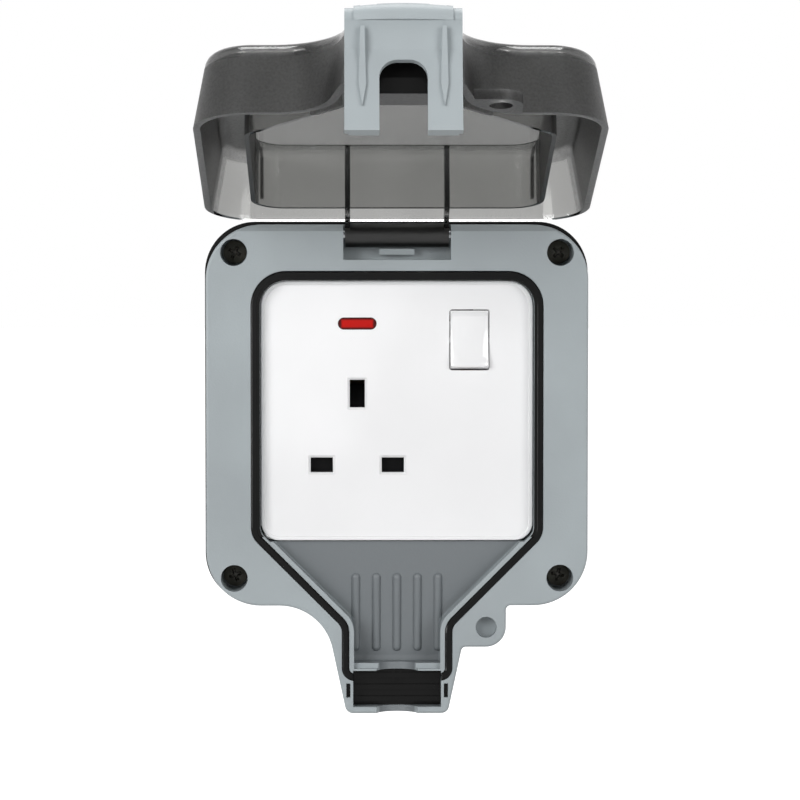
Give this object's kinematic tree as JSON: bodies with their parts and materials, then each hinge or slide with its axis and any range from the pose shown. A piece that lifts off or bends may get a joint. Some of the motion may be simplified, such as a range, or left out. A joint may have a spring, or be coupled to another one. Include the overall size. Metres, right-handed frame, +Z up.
{
  "type": "outdoor weatherproof socket",
  "caption": "Grey surface-mounted outdoor mains socket: gasketed frame with a cable neck, smoky hinged lid with a latch, and a switched flat-pin outlet with a neon indicator.",
  "frame": {"origin": "centre of the back face of the back box, on the wall", "axes": "+X to the right seen from the front, +Y into the wall, +Z up"},
  "size_m": [0.1208, 0.1989, 0.2135],
  "materials": {
    "grey_moulding": "fine satin",
    "smoky_lid": "clear smoke tint",
    "black_rubber": "matt",
    "black_screw": "black",
    "white_plate": "glossy",
    "white_inner": "moulded",
    "black_inner": "moulded",
    "red_lens": "clear red",
    "lamp_glass": "clear",
    "resistor_body": "lacquer",
    "brass": "pressed",
    "steel": "zinc plated"
  },
  "bodies": {
    "base": {"back_box": "grey_moulding", "box_seal": "black_rubber", "front_frame": "grey_moulding", "frame_screws": "black_screw", "lid_gasket": "black_rubber", "cable_grommet": "black_rubber", "hinge_pin": "steel", "faceplate": "white_plate", "module_screws": "steel", "rear_housing": "white_inner", "housing_screws": "steel", "neutral_contact": "brass", "earth_contact": "brass", "live_contact": "brass", "switch_stand": "brass", "neutral_terminal": "brass", "earth_terminal": "brass", "live_terminal": "brass", "terminal_screws": "steel", "neon_lens": "red_lens", "neon_lamp": "lamp_glass", "neon_resistor": "resistor_body", "fixed_contact": "brass", "shutter_spring": "steel"},
    "lid_body": {"lid": "smoky_lid", "lid_grommet": "black_rubber", "latch_pin": "steel"},
    "latch_body": {"latch": "grey_moulding"},
    "rocker_body": {"switch_rocker": "white_plate", "rocker_plunger": "white_inner", "plunger_spring": "steel"},
    "lever_body": {"switch_lever": "brass"},
    "shutter_body": {"shutter": "black_inner"}
  },
  "joints": [
    {"name": "lid_hinge", "type": "hinge", "parent": "base", "child": "lid_body", "pos_m": [0, -0.0453, 0.0561], "axis": [-1, 0, 0], "range_deg": [-105, 0]},
    {"name": "latch_pivot", "type": "hinge", "parent": "lid_body", "child": "latch_body", "pos_m": [0, -0.18727, 0.11588], "axis": [-1, 0, 0], "range_deg": [-5, 75]},
    {"name": "rocker_pivot", "type": "hinge", "parent": "base", "child": "rocker_body", "pos_m": [0.0226, -0.0445, 0.0235], "axis": [1, 0, 0], "range_deg": [0, 18]},
    {"name": "lever_pivot", "type": "hinge", "parent": "base", "child": "lever_body", "pos_m": [0.0226, -0.03, 0.0235], "axis": [1, 0, 0], "range_deg": [-12, 0]},
    {"name": "shutter_slide", "type": "slide", "parent": "base", "child": "shutter_body", "axis": [0, 0, -1], "range_m": [0, 0.0055], "stiffness_N_per_m": 200, "springref_m": -0.004, "deforming": ["shutter_spring"]}
  ],
  "couplings": [
    {"joint": "lever_pivot", "follows": "rocker_pivot", "ratio": -0.66667}
  ]
}
